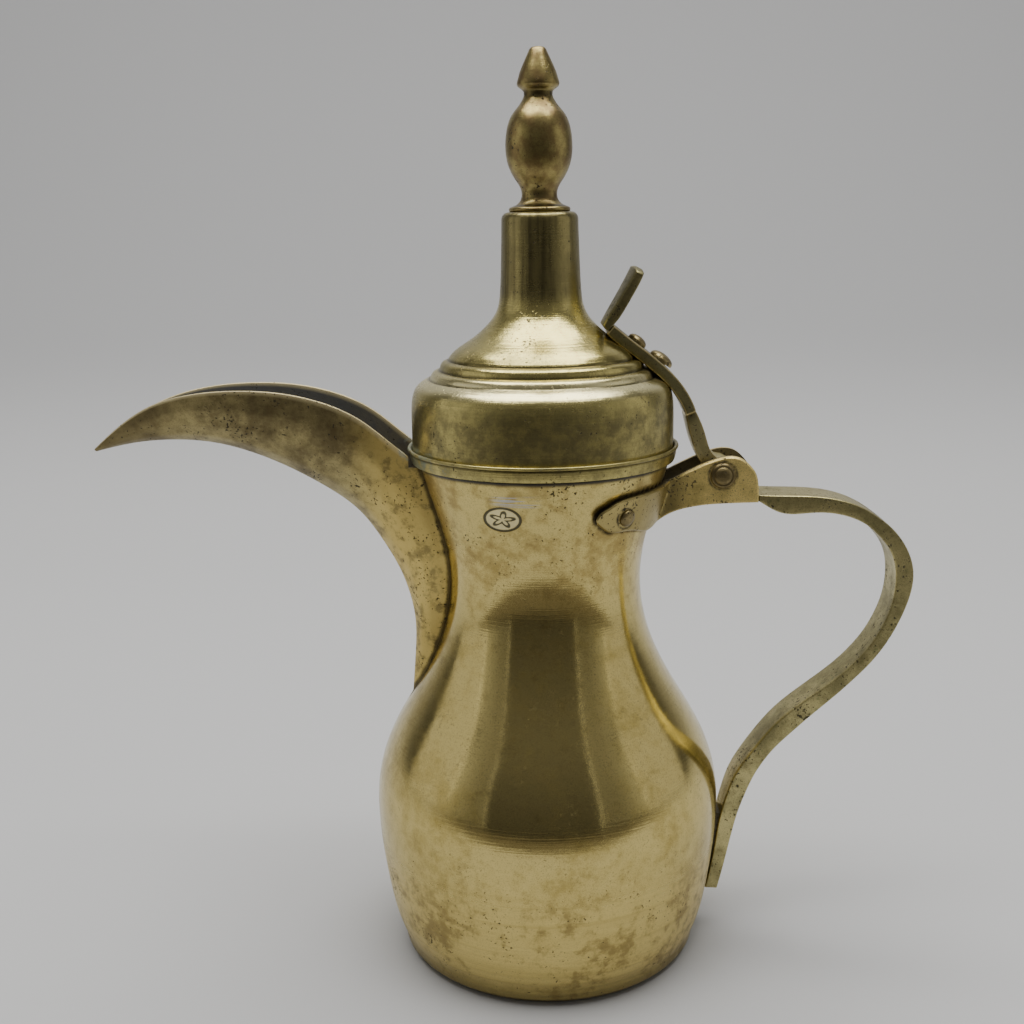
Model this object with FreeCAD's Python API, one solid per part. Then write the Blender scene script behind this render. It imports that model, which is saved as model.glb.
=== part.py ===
import FreeCAD, Part
import math
import os

# Brass dallah coffee pot. Millimetres, +Z up, +X towards the handle, origin at the centre of the
# underside of the base. One STEP file per separate piece.

os.makedirs("parts", exist_ok=True)
V = FreeCAD.Vector
UP = V(0, 0, 1)

# Body and base
WALL = 1.2
FOOT_LIP_R = 38.0
FOOT_CORNER_R = 41.0
RIM_Z = 151.7
BODY_PROFILE = [(45.75, 5.0), (47.7, 10.0), (49.6, 18.0), (51.0, 27.0), (52.05, 36.0), (52.5, 45.0),
                (52.0, 53.0), (50.15, 61.0), (46.8, 69.0), (42.3, 77.0), (37.65, 85.0), (33.3, 94.0),
                (30.35, 103.0), (28.9, 112.0), (29.0, 121.0), (30.8, 131.0), (34.15, 142.0), (37.0, RIM_Z)]
STRAINER_HOLE_R = 1.5

# Lid
BAND_Z = 152.0
BAND_TOP_Z = 156.5
BAND_R = 39.7
DOME_R = 38.2
SPIGOT_R = 34.0
SPIGOT_Z = 148.0
LID_TOP_Z = 222.6
STUD_R = 2.4

# Hinge, bracket and strap
PIN_X = 51.9
PIN_Z = 147.5
PIN_R = 2.1
PIN_HEAD_R = 3.7
RUNNING = 0.05
EAR_IN = 6.3
EAR_OUT = 8.5
KNUCKLE_R = 4.3
KNUCKLE_HALF = 5.9
STRAP_HALF = 7.0
STRAP_SLOPE = math.atan2(12.9, 17.0)
STRAP_UP = V(math.sin(STRAP_SLOPE), 0, math.cos(STRAP_SLOPE))
THUMB_CROWN_R = 29.6
NECK_RIVET_ANGLE = 50.0
NECK_RIVET_Z = 139.8
NECK_RIVET_R = 1.5
# Each rivet of the strap: x, z, head radius, head height, shank radius.
LID_RIVETS = [(27.4, 185.4, 2.9, 2.0, 1.6), (34.3, 180.0, 3.7, 2.3, 1.9)]

# Spout
SPOUT_SHEET = 1.2
# Each station: upper edge (x, z), keel (x, z), half width at the upper edge
SPOUT_STATIONS = [
    ((-132.9, 156.4), (-132.6, 155.7), 0.9),
    ((-124.7, 162.9), (-121.1, 158.1), 4.0),
    ((-113.4, 169.7), (-108.0, 158.9), 7.0),
    ((-100.7, 173.2), (-95.2, 157.5), 9.3),
    ((-88.2, 174.2), (-82.6, 153.5), 10.6),
    ((-75.8, 173.6), (-73.0, 149.0), 11.4),
    ((-63.6, 171.0), (-63.7, 143.6), 12.0),
    ((-52.4, 166.0), (-55.0, 136.8), 12.4),
    ((-43.0, 158.6), (-48.3, 127.6), 12.6),
    ((-34.5, 150.5), (-42.7, 116.8), 12.0),
    ((-29.5, 138.5), (-39.5, 104.0), 10.5),
    ((-27.0, 124.0), (-39.7, 92.0), 8.0),
    ((-27.0, 107.0), (-40.9, 79.0), 5.5),
    ((-29.5, 88.0), (-41.3, 76.0), 3.5)]

# Handle
HANDLE_OUTER = [(50.0, 141.3), (62.9, 141.3), (69.7, 141.1), (76.3, 140.9), (81.2, 140.5), (86.2, 139.6),
                (91.0, 138.0), (95.1, 135.9), (98.4, 133.6), (101.6, 131.0), (104.9, 127.2),
                (107.6, 122.3), (108.9, 117.0), (108.6, 111.8), (107.0, 105.9), (104.6, 100.1),
                (101.5, 94.4), (97.6, 89.0), (93.4, 84.4), (88.8, 79.8), (83.9, 75.3), (79.0, 70.8),
                (74.2, 66.2), (70.0, 61.9), (66.6, 57.4), (63.7, 52.4), (61.2, 46.4), (59.2, 40.6),
                (57.7, 34.6), (56.4, 28.6), (55.1, 22.4), (53.2, 14.4)]
HANDLE_INNER = [(49.4, 14.6), (50.4, 19.2), (51.3, 24.1), (52.1, 29.3), (52.8, 34.6), (53.7, 39.6),
                (54.9, 44.3), (57.2, 51.4), (60.5, 57.4), (64.2, 62.8), (67.9, 67.6), (71.9, 71.9), (76.2, 75.6),
                (81.0, 79.3), (85.8, 83.0), (90.2, 86.8), (94.2, 91.0), (97.7, 95.6), (100.6, 101.0),
                (102.7, 106.8), (103.6, 112.6), (103.5, 117.6), (102.5, 121.8), (100.6, 125.4),
                (97.8, 128.7), (94.9, 131.4), (91.4, 133.4), (87.4, 134.8), (82.6, 135.6),
                (77.6, 135.6), (73.0, 135.3), (69.2, 135.8), (66.0, 137.3), (62.9, 139.3), (50.0, 139.3)]


def point(pair):
    return V(pair[0], 0, pair[1])


def spline(pairs, start=None, end=None):
    curve = Part.BSplineCurve()
    points = [point(p) for p in pairs]
    if start:
        curve.interpolate(Points=points, InitialTangent=point(start), FinalTangent=point(end))
    else:
        curve.interpolate(Points=points)
    return curve.toShape()


def polyline(pairs):
    return [Part.makeLine(point(a), point(b)) for a, b in zip(pairs, pairs[1:])]


def face_of(edges):
    return Part.Face(Part.Wire(Part.__sortEdges__(edges)))


def revolved(edges):
    solid = face_of(edges).revolve(V(0, 0, 0), UP, 360)
    if solid.Volume < 0:
        solid.reverse()
    return solid


def drilled(solid, tools):
    for tool in tools:
        solid = solid.cut(tool)
    return solid


def turned(pairs):
    return revolved(polyline(pairs + pairs[:1]))


def moved_inwards(pairs, distance):
    """Points moved at right angles to the line they make, towards the axis."""
    result = []
    for i, (r, z) in enumerate(pairs):
        r0, z0 = pairs[max(i - 1, 0)]
        r1, z1 = pairs[min(i + 1, len(pairs) - 1)]
        length = math.hypot(r1 - r0, z1 - z0)
        result.append((r - distance * (z1 - z0) / length, z + distance * (r1 - r0) / length))
    return result


def bar(face, half_width):
    """A flat outline in the XZ plane made into a bar centred on the pot's middle plane."""
    solid = face.extrude(V(0, 2 * half_width, 0))
    solid.translate(V(0, -half_width, 0))
    return solid


def slab(face, y0, y1):
    solid = face.extrude(V(0, y1 - y0, 0))
    solid.translate(V(0, y0, 0))
    return solid


def dome_head(base, axis, radius, height):
    """Domed rivet head standing on the point base, along axis."""
    ball_r = (radius * radius + height * height) / (2 * height)
    centre = base + axis * (height - ball_r)
    ball = Part.makeSphere(ball_r, centre)
    return ball.common(Part.makeCylinder(radius, height + 0.1, base, axis))


def save(node, shape):
    shape.exportStep("parts/" + node + ".step")


def arcs(pairs):
    """Circular arcs through every third point of an odd-length list."""
    return [Part.Arc(point(pairs[i]), point(pairs[i + 1]), point(pairs[i + 2])).toShape()
            for i in range(0, len(pairs) - 1, 2)]


def body_outline():
    return arcs([(FOOT_CORNER_R, 0.0)] + BODY_PROFILE)


def body_outer_solid():
    edges = body_outline() + polyline([(37.0, RIM_Z), (0, RIM_Z), (0, 0), (FOOT_CORNER_R, 0)])
    return revolved(edges)


def neck_offset_solid(distance):
    """Solid bounded by the neck's outside moved outwards by distance."""
    neck = [p for p in BODY_PROFILE if p[1] > 110]
    grown = moved_inwards(neck, -distance)
    edges = arcs(grown) + polyline([grown[-1], (0, grown[-1][1]), (0, grown[0][1]), grown[0]])
    return revolved(edges)


def body_shell():
    inner = [(FOOT_CORNER_R, WALL)] + moved_inwards(BODY_PROFILE, WALL)
    inner[1] = (44.6, 5.2)
    inner[-1] = (inner[-1][0], RIM_Z)
    edges = body_outline() + arcs(inner) + polyline([(37.0, RIM_Z), inner[-1]])
    edges += polyline([(FOOT_CORNER_R, WALL), (FOOT_LIP_R, WALL), (FOOT_LIP_R, 0), (FOOT_CORNER_R, 0)])
    shell = revolved(edges)
    holes = neck_rivet_shanks()
    for row in range(6):
        for column in range(-1, 2):
            if (row + column) % 2:
                continue
            z = 106 + 6.5 * row
            angle = math.radians(180 + 8.5 * column)
            outwards = V(math.cos(angle), math.sin(angle), 0)
            holes.append(Part.makeCylinder(STRAINER_HOLE_R, 20, outwards * 22 + V(0, 0, z), outwards))
    return largest(drilled(shell, holes))


def base_plate():
    return turned([(0, 0), (FOOT_LIP_R - 0.05, 0), (FOOT_LIP_R - 0.05, WALL), (40.4, WALL),
                   (40.4, WALL + 1.0), (36.8, WALL + 1.0), (36.8, WALL), (0, WALL)])


def spout_section(top, keel, half_width, inset):
    """Closed outline of one half of the trough at one station; the inner one is moved in by inset."""
    tx, tz = top
    kx, kz = keel
    length = math.hypot(tx - kx, tz - kz)
    ux, uz = (tx - kx) / length, (tz - kz) / length
    low = inset * 1.15
    high = 3.0 if inset else 0.0
    half = max(half_width - inset, 0.3)
    points = [V(kx + ux * low, 0, kz + uz * low)]
    for share, width in ((0.18, 0.42), (0.42, 0.72), (0.7, 0.91), (1.0, 1.0)):
        along = low + share * (length + high - low)
        points.append(V(kx + ux * along, width * half, kz + uz * along))
    points.append(V(points[-1].x, 0, points[-1].z))
    return Part.makePolygon(points + points[:1])


def midway(p0, p1, p2, p3):
    """Point half way between p1 and p2 on the smooth curve through four neighbouring points."""
    return tuple((9 * (b + c) - a - d) / 16 for a, b, c, d in zip(p0, p1, p2, p3))


def spout_stations():
    """The measured stations with a smooth one between each pair."""
    flat = [top + keel + (width,) for top, keel, width in SPOUT_STATIONS]
    dense = []
    for i in range(len(flat) - 1):
        dense.append(flat[i])
        dense.append(midway(flat[max(i - 1, 0)], flat[i], flat[i + 1], flat[min(i + 2, len(flat) - 1)]))
    dense.append(flat[-1])
    return [(s[0:2], s[2:4], s[4]) for s in dense]


def spout_rear_wall():
    stations = spout_stations()
    outer = Part.makeLoft([spout_section(t, k, w, 0) for t, k, w in stations], True, True)
    inner = Part.makeLoft([spout_section(t, k, w, SPOUT_SHEET) for t, k, w in stations[2:]], True, True)
    wall = outer.cut(inner)
    wall = wall.cut(body_outer_solid())
    return largest(wall.cut(Part.makeCylinder(BAND_R + 0.7, 40, V(0, 0, RIM_Z - 0.4))))


def largest(shape):
    return max(shape.Solids, key=lambda s: s.Volume)


def bracket_outline():
    top = [(14.3, 140.4), (15.4, 142.1), (17.8, 143.5), (20.2, 144.8), (26.0, 145.7), (32.0, 145.9),
           (36.8, 146.5), (39.6, 147.8), (42.9, 149.4), (46.2, 150.9), (49.5, 152.1), (52.7, 152.9),
           (55.4, 152.9), (57.5, 152.2), (59.5, 150.6), (61.2, 148.5), (62.1, 145.9), (62.4, 142.6)]
    bottom = [(62.4, 139.3), (53.0, 139.2), (46.4, 138.8), (43.1, 138.3), (39.8, 137.6), (37.0, 136.6),
              (34.5, 135.2), (32.0, 133.6), (29.5, 133.2), (26.7, 134.4), (24.0, 135.4), (20.4, 135.6),
              (18.0, 136.1), (16.0, 137.6), (14.6, 139.1)]
    pairs = top + bottom
    return face_of(polyline(pairs + pairs[:1]))


def bracket_rear():
    hug = neck_offset_solid(2.3)
    arm = hug.common(slab(bracket_outline(), EAR_IN, 60))
    ear_box = Part.makeBox(40, EAR_OUT - EAR_IN, 40, V(30, EAR_IN, 125))
    ear = slab(bracket_outline(), EAR_IN, EAR_OUT).common(ear_box)
    beyond = Part.makeBox(60, 60, 60, V(36.2, EAR_OUT, 120))
    bracket = arm.cut(beyond).fuse(ear)
    bracket = bracket.cut(body_outer_solid())
    bracket = bracket.cut(Part.makeCylinder(PIN_R, 40, V(PIN_X, -20, PIN_Z), V(0, 1, 0)))
    return largest(drilled(bracket, neck_rivet_shanks()).removeSplitter())


def neck_rivet_axes():
    axes = []
    for sign in (-1, 1):
        angle = math.radians(sign * NECK_RIVET_ANGLE)
        axis = V(math.cos(angle) * 0.955, math.sin(angle) * 0.955, -0.297)
        seat = V(math.cos(angle) * 35.75, math.sin(angle) * 35.75, NECK_RIVET_Z)
        axes.append((seat, axis))
    return axes


def neck_rivet_shanks():
    return [Part.makeCylinder(NECK_RIVET_R, 12, seat - axis * 8, axis) for seat, axis in neck_rivet_axes()]


def neck_rivets(brackets):
    rivets = []
    for seat, axis in neck_rivet_axes():
        shank = Part.makeCylinder(NECK_RIVET_R, 5.0, seat - axis * 4.9, axis)
        head = dome_head(seat, axis, 2.5, 1.3)
        tail = dome_head(seat - axis * 4.4, axis * -1, 2.3, 0.9)
        rivet = shank.fuse([head, tail])
        rivets.append(largest(drilled(rivet, brackets)))
    return Part.makeCompound(rivets)


def neck_rivet_washer(seat, axis):
    ring = Part.makeCylinder(3.0, 0.8, seat - axis * 4.4, axis)
    return ring.cut(Part.makeCylinder(NECK_RIVET_R, 2, seat - axis * 5, axis))


def neck_rivet_washers():
    return Part.makeCompound([neck_rivet_washer(seat, axis) for seat, axis in neck_rivet_axes()])


def hinge_pin():
    shank = Part.makeCylinder(PIN_R, 2 * EAR_OUT, V(PIN_X, -EAR_OUT, PIN_Z), V(0, 1, 0))
    heads = []
    for sign in (-1, 1):
        axis = V(0, sign, 0)
        base = V(PIN_X, sign * EAR_OUT, PIN_Z)
        rim = Part.makeCylinder(PIN_HEAD_R, 0.5, base, axis)
        crown = Part.makeCone(PIN_HEAD_R, PIN_HEAD_R - 0.8, 0.5, base + axis * 0.5, axis)
        button = dome_head(base + axis * 1.0, axis, PIN_HEAD_R - 0.8, 0.7)
        heads += [rim, crown, button]
    return shank.fuse(heads)


def handle():
    ends = [HANDLE_OUTER[0], HANDLE_OUTER[1]]
    edges = polyline(ends)
    edges.append(spline(HANDLE_OUTER[1:]))
    edges += polyline([HANDLE_OUTER[-1], HANDLE_INNER[0]])
    edges.append(spline(HANDLE_INNER[:-1]))
    edges += polyline([HANDLE_INNER[-2], HANDLE_INNER[-1], HANDLE_OUTER[0]])
    blank = bar(face_of(edges), 7.15)
    plan = [(49, 6.25), (62.55, 6.25), (62.56, 7.15), (78, 7.1), (90, 6.7), (112, 6.3), (112, 0)]
    upper = half_plan_solid([(49, 0)] + plan, 95, 145)
    side = [(12, 4.7), (45, 5.2), (75, 5.7), (110, 6.3), (125, 6.6), (145, 7.15)]
    lower = Part.Face(Part.makePolygon([V(40, -w, z) for z, w in side] +
                                       [V(40, w, z) for z, w in reversed(side)] + [V(40, -4.7, 12)]))
    shaped = blank.common(lower.extrude(V(75, 0, 0)))
    top_part = shaped.common(Part.makeBox(80, 40, 40, V(40, -20, 110)))
    rest = shaped.cut(Part.makeBox(80, 40, 40, V(40, -20, 110)))
    top_part = top_part.common(upper)
    return largest(top_part.fuse(rest).removeSplitter())


def half_plan_solid(plan, z0, z1):
    points = [V(x, w, z0) for x, w in plan] + [V(x, -w, z0) for x, w in reversed(plan)]
    face = Part.Face(Part.makePolygon(points + points[:1]))
    return face.extrude(V(0, 0, z1 - z0))


def handle_solder_pad():
    outline = [(48.5, 20.0), (50.6, 20.0), (51.3, 24.1), (52.1, 29.3), (52.8, 34.6), (53.7, 39.6),
               (48.5, 39.6)]
    pad = bar(face_of(polyline(outline + outline[:1])), 3.9)
    return largest(pad.cut(body_outer_solid()).cut(handle()))


def lid_rim_band():
    return turned([(SPIGOT_R + 0.05, BAND_Z), (DOME_R + 0.3, BAND_Z), (38.9, 153.2), (39.35, 155.0),
                   (BAND_R, 155.6), (BAND_R, 156.1), (39.3, BAND_TOP_Z), (DOME_R + 0.05, BAND_TOP_Z),
                   (DOME_R + 0.05, BAND_Z + 1.2), (SPIGOT_R + 0.05, BAND_Z + 1.2)])


def lid_spigot():
    return turned([(32.8, SPIGOT_Z), (SPIGOT_R - 0.3, SPIGOT_Z), (SPIGOT_R, SPIGOT_Z + 0.6),
                   (SPIGOT_R, BAND_Z + 1.2), (36.8, BAND_Z + 1.2), (36.8, BAND_Z + 2.2), (32.8, BAND_Z + 2.2)])


def dome_outer_edges():
    wall = [(DOME_R, 153.2), (DOME_R, 164.0)]
    shoulder = spline([(DOME_R, 164.0), (38.1, 168.0), (37.6, 171.4), (36.6, 173.6), (34.9, 175.1),
                       (33.1, 176.0)], (0, 1), (-1, 0.4))
    beads = []
    for r, z, r2, z2 in ((32.5, 176.0, 30.2, 178.4), (29.7, 178.9, 27.6, 181.2)):
        beads.append(spline([(r, z), ((r + r2) / 2 + 0.42, (z + z2) / 2 + 0.42), (r2, z2)]))
    cone = spline([(27.1, 181.7), (25.4, 183.6), (22.3, 185.8), (19.3, 187.8), (16.7, 190.0), (14.6, 192.2),
                   (13.0, 194.6), (12.15, 197.0), (11.75, 199.6), (11.45, 204.0), (11.25, 209.0),
                   (11.1, 214.0), (10.95, 219.6)])
    joins = polyline([(33.1, 176.0), (32.5, 176.0)]) + polyline([(30.2, 178.4), (29.7, 178.9)])
    joins += polyline([(27.6, 181.2), (27.1, 181.7)])
    top = spline([(10.95, 219.6), (10.75, 221.3), (9.9, 222.3), (8.8, LID_TOP_Z)], (0, 1), (-1, 0.1))
    return polyline(wall) + [shoulder, cone, top] + beads + joins


def lid_dome_outer_solid():
    edges = dome_outer_edges() + polyline([(8.8, LID_TOP_Z), (0, LID_TOP_Z), (0, 153.2), (DOME_R, 153.2)])
    return revolved(edges)


def lid_dome():
    inner = [spline([(37.0, 164.0), (36.9, 168.0), (36.3, 171.0), (35.0, 172.9), (32.0, 174.7), (28.9, 177.6),
                     (26.0, 180.6), (24.0, 182.8), (21.5, 184.8), (18.5, 186.8), (15.8, 189.2), (13.5, 191.7),
                     (11.9, 194.3), (11.0, 196.9), (10.55, 199.6), (10.25, 204.0), (10.05, 209.0),
                     (9.9, 214.0), (9.8, 219.6)], (0, 1), (-0.02, 1))]
    inner += polyline([(9.8, 219.6), (9.8, 221.3), (0, 221.3), (0, 153.2), (37.0, 153.2), (37.0, 164.0)])
    dome = lid_dome_outer_solid().cut(revolved(inner))
    dome = dome.cut(Part.makeCylinder(STUD_R + 0.05, 10, V(0, 0, 215)))
    return largest(drilled(dome, lid_rivet_shanks()))


def finial():
    stud = Part.makeCylinder(STUD_R, 9.5, V(0, 0, 214.0))
    bead = [(0, 222.6), (8.5, 222.6), (8.75, 223.1), (8.6, 223.6), (7.6, 224.1)]
    egg = spline([(7.6, 224.1), (5.6, 225.3), (5.0, 227.6), (5.7, 229.8), (7.2, 232.1), (8.4, 234.5),
                  (9.15, 237.2), (9.4, 240.4), (9.2, 243.4), (8.6, 246.3), (7.2, 249.2), (5.3, 251.5),
                  (4.2, 253.2)], (-1, 0.25), (-0.4, 1))
    tip = [(4.2, 253.2), (4.1, 255.0), (5.7, 256.2), (5.95, 257.2), (5.1, 260.0), (4.2, 262.1), (3.1, 264.4),
           (2.3, 266.1), (1.6, 266.7), (0, 266.7)]
    turned_part = revolved(polyline(bead) + [egg] + polyline(tip) + polyline([(0, 266.7), (0, 222.6)]))
    return turned_part.fuse(stud)


def finial_washer():
    ring = Part.makeCylinder(6.0, 1.0, V(0, 0, 220.3))
    return ring.cut(Part.makeCylinder(STUD_R + 0.05, 3, V(0, 0, 219)))


def finial_nut():
    corners = [V(4.6 * math.cos(math.radians(60 * i)), 4.6 * math.sin(math.radians(60 * i)), 216.8)
               for i in range(7)]
    nut = Part.Face(Part.makePolygon(corners)).extrude(V(0, 0, 3.5))
    return nut.cut(Part.makeCylinder(STUD_R, 6, V(0, 0, 215)))


def lid_strap():
    outline = [(20.3, 191.0), (22.4, 189.3), (25.3, 187.0), (31.1, 182.5), (37.0, 177.3), (40.0, 173.9),
               (42.9, 169.2), (44.2, 166.0), (41.3, 164.7), (40.0, 167.9), (37.4, 171.9), (34.9, 174.8),
               (29.4, 179.6), (23.8, 184.0), (20.6, 186.5), (18.4, 188.6)]
    strap = bar(face_of(polyline(outline + outline[:1])), STRAP_HALF)
    strap = strap.cut(lid_dome_outer_solid())
    return largest(drilled(strap, lid_rivet_shanks()))


def thumb_piece():
    outline = [(18.4, 188.6), (20.3, 191.0), (22.0, 192.4), (25.4, 198.0), (28.3, 203.6), (29.1, 205.4),
               (28.7, 206.6), (27.3, 207.0), (25.3, 206.2), (21.8, 200.3), (18.8, 195.2), (16.7, 191.6)]
    blank = bar(face_of(polyline(outline + outline[:1])), 9.2)
    crown = Part.makeCylinder(THUMB_CROWN_R, 70, V(32.3, 0, 159.5), V(0.503, 0, 0.864))
    flare = [(186, 7.0), (193, 7.0), (199, 8.3), (203, 9.0), (205.5, 8.4), (206.4, 7.0), (207.2, 4.5)]
    points = [V(10, -w, z) for z, w in flare] + [V(10, w, z) for z, w in reversed(flare)]
    cutter = Part.Face(Part.makePolygon(points + points[:1])).extrude(V(25, 0, 0))
    return largest(blank.common(crown).common(cutter).cut(lid_dome_outer_solid()))


def hinge_tongue():
    outline = [(41.3, 164.7), (44.2, 166.0), (46.9, 159.6), (49.2, 153.4), (51.6, 151.7), (50.0, 148.0),
               (47.7, 148.2), (44.9, 152.0), (42.9, 158.2)]
    blade = bar(face_of(polyline(outline + outline[:1])), KNUCKLE_HALF)
    knuckle = Part.makeCylinder(KNUCKLE_R, 2 * KNUCKLE_HALF, V(PIN_X, -KNUCKLE_HALF, PIN_Z), V(0, 1, 0))
    tongue = blade.fuse(knuckle)
    bore = Part.makeCylinder(PIN_R + RUNNING, 40, V(PIN_X, -20, PIN_Z), V(0, 1, 0))
    return largest(tongue.cut(bore).removeSplitter())


def lid_rivet_shanks():
    return [Part.makeCylinder(r, 12, V(x, 0, z) - STRAP_UP * 11, STRAP_UP) for x, z, _, _, r in LID_RIVETS]


def lid_rivets():
    rivets = []
    for x, z, head_r, head_h, shank_r in LID_RIVETS:
        seat = V(x, 0, z)
        shank = Part.makeCylinder(shank_r, 7.0, seat - STRAP_UP * 6.8, STRAP_UP)
        head = dome_head(seat + STRAP_UP * 0.02, STRAP_UP, head_r, head_h)
        tail = dome_head(seat - STRAP_UP * 6.6, STRAP_UP * -1, shank_r + 1.0, 0.8)
        rivet = shank.fuse([head, tail])
        rivets.append(rivet)
    return Part.makeCompound(rivets)


def lid_rivet_washers():
    washers = []
    for x, z, _, _, shank_r in LID_RIVETS:
        seat = V(x, 0, z)
        ring = Part.makeCylinder(shank_r + 1.8, 0.8, seat - STRAP_UP * 6.6, STRAP_UP)
        washers.append(ring.cut(Part.makeCylinder(shank_r, 4, seat - STRAP_UP * 8, STRAP_UP)))
    return Part.makeCompound(washers)


rear_wall = spout_rear_wall()
rear_bracket = bracket_rear()
front_bracket = rear_bracket.mirror(V(0, 0, 0), V(0, 1, 0))

save("body_shell", body_shell())
save("base_plate", base_plate())
save("spout_front_wall", rear_wall.mirror(V(0, 0, 0), V(0, 1, 0)))
save("spout_rear_wall", rear_wall)
save("bracket_rear", rear_bracket)
save("bracket_front", front_bracket)
save("neck_rivets", neck_rivets([front_bracket, rear_bracket]))
save("neck_rivet_washers", neck_rivet_washers())
save("hinge_pin", hinge_pin())
save("handle", handle())
save("handle_solder_pad", handle_solder_pad())
save("lid_rim_band", lid_rim_band())
save("lid_spigot", lid_spigot())
save("lid_dome", lid_dome())
save("finial", finial())
save("finial_washer", finial_washer())
save("finial_nut", finial_nut())
save("lid_strap", lid_strap())
save("thumb_piece", thumb_piece())
save("hinge_tongue", hinge_tongue())
save("lid_rivets", lid_rivets())
save("lid_rivet_washers", lid_rivet_washers())
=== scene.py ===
import math

import bmesh
import bpy
import numpy as np
from mathutils import Matrix, Vector


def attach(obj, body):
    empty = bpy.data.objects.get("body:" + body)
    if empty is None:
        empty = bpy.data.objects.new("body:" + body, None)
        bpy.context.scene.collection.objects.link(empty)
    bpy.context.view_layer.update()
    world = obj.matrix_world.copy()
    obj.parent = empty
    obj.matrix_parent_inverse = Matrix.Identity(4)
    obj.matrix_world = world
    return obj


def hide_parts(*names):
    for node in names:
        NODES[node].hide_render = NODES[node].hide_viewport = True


MM = 0.001
WELD = 2e-6
DRILL_RING = 0.031
LOWEST_DRILL = 0.106
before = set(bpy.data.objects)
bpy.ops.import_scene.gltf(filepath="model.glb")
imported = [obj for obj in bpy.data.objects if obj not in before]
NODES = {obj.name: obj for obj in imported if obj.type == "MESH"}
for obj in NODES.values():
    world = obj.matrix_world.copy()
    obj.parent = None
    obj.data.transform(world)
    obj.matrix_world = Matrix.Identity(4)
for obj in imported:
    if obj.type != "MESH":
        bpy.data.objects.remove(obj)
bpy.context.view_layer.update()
scene = bpy.context.scene


# ---- shader helpers

class Sock:
    """A shader socket with arithmetic: a + b, a * 2, 1 - a and so on make Math nodes."""

    def __init__(self, tree, out):
        self.tree = tree
        self.out = out

    def maths(self, kind, *others):
        return self.tree.maths(kind, self, *others)

    def __add__(self, other):
        return self.maths("ADD", other)

    __radd__ = __add__

    def __mul__(self, other):
        return self.maths("MULTIPLY", other)

    def __sub__(self, other):
        return self.maths("SUBTRACT", other)

    def __rsub__(self, other):
        return self.tree.maths("SUBTRACT", other, self)

    def __truediv__(self, other):
        return self.maths("DIVIDE", other)

    def __pow__(self, other):
        return self.maths("POWER", other)

    def size(self):
        return self.maths("ABSOLUTE")

    def step(self, low, high):
        """0 below low and 1 above high, smooth between; low above high turns it round."""
        if low > high:
            return 1.0 - self.step(high, low)
        return self.tree.node("ShaderNodeMapRange", {"interpolation_type": "SMOOTHSTEP"},
                              {"Value": self, "From Min": low, "From Max": high})


class Tree:
    """A node tree of one material."""

    def __init__(self, name):
        self.material = bpy.data.materials.new(name)
        self.material.use_nodes = True
        self.tree = self.material.node_tree
        self.tree.nodes.clear()

    def fill(self, node, values):
        """Links or sets the node's inputs, given as pairs of input and value."""
        for key, value in values:
            if isinstance(value, Sock):
                self.tree.links.new(value.out, node.inputs[key])
            else:
                node.inputs[key].default_value = value
        return node

    def node(self, kind, settings=None, values=(), output=0):
        made = self.tree.nodes.new(kind)
        for key, value in (settings or {}).items():
            setattr(made, key, value)
        self.fill(made, values.items() if isinstance(values, dict) else enumerate(values))
        return Sock(self, made.outputs[output])

    def maths(self, kind, *values):
        return self.node("ShaderNodeMath", {"operation": kind}, values)

    def place(self):
        return self.node("ShaderNodeTexCoord", output="Object")

    def xyz(self, vector):
        split = self.fill(self.tree.nodes.new("ShaderNodeSeparateXYZ"), [(0, vector)])
        return [Sock(self, split.outputs[i]) for i in range(3)]

    def stretch(self, vector, factors):
        return self.node("ShaderNodeVectorMath", {"operation": "MULTIPLY"}, [vector, factors])

    def noise(self, vector, scale, detail=3.0, roughness=0.55):
        return self.node("ShaderNodeTexNoise", None,
                         {"Vector": vector, "Scale": scale, "Detail": detail, "Roughness": roughness})

    def mix(self, factor, a, b):
        return self.node("ShaderNodeMix", {"data_type": "RGBA"}, {0: factor, 6: a, 7: b}, 2)

    def attribute(self, name):
        return self.node("ShaderNodeAttribute", {"attribute_name": name}, output="Fac")

    def bump(self, height, strength, distance):
        return self.node("ShaderNodeBump", None,
                         {"Height": height, "Strength": strength, "Distance": distance})

    def finish(self, colour, roughness, metallic=0.0, **more):
        """Ends the tree in a Principled shader; more names its other inputs, with _ for a space."""
        values = {"Base Color": colour, "Roughness": roughness, "Metallic": metallic}
        values.update({key.replace("_", " "): value for key, value in more.items()})
        shader = self.fill(self.tree.nodes.new("ShaderNodeBsdfPrincipled"), values.items())
        end = self.tree.nodes.new("ShaderNodeOutputMaterial")
        self.tree.links.new(shader.outputs[0], end.inputs[0])
        return self.material


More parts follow.
